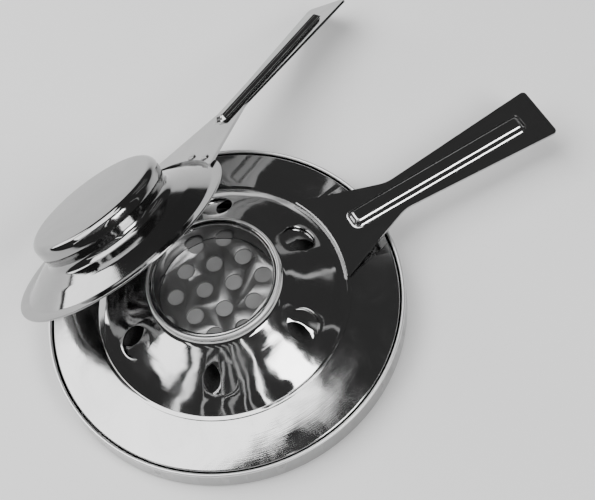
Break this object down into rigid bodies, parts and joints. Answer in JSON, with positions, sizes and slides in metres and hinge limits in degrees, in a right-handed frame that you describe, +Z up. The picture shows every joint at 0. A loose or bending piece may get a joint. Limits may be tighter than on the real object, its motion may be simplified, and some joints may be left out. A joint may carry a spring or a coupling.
{
  "type": "alcohol spirit stove",
  "caption": "Low round spirit burner in polished steel with a drip pan, a turning air regulator with a long handle, and a lift-off snuffer cap leaning on the pan.",
  "frame": {"origin": "centre of the pan's flat underside, where the stove stands", "axes": "+Z up along the burner's axis; +X along the regulator's handle at rest"},
  "size_m": [0.1871, 0.1542, 0.0634],
  "materials": {
    "polished_steel": "mirror polished",
    "inner_steel": "as drawn",
    "pin_steel": "turned",
    "gauze": "matte woven wire",
    "wadding": "matte fibre"
  },
  "bodies": {
    "base": {"base_pan": "polished_steel", "drip_flange": "polished_steel", "fuel_cup": "inner_steel", "wadding": "wadding", "neck_collar": "polished_steel", "wick_gauze": "gauze", "perforated_plate": "polished_steel", "burner_cone": "polished_steel"},
    "regulator": {"regulator_cone": "polished_steel", "regulator_handle": "polished_steel", "stop_pin": "pin_steel", "spring_washer": "pin_steel"},
    "snuffer": {"snuffer_cap": "polished_steel", "snuffer_handle": "polished_steel", "snuffer_rivets": "pin_steel"}
  },
  "joints": [
    {"name": "regulator_turn", "type": "hinge", "parent": "base", "child": "regulator", "pos_m": [0, 0, 0.02], "axis": [0, 0, 1], "range_deg": [-10, 20]},
    {"name": "snuffer_lift", "type": "slide", "parent": "base", "child": "snuffer", "axis": [0, 0, 1], "range_m": [0, 0.08]}
  ]
}
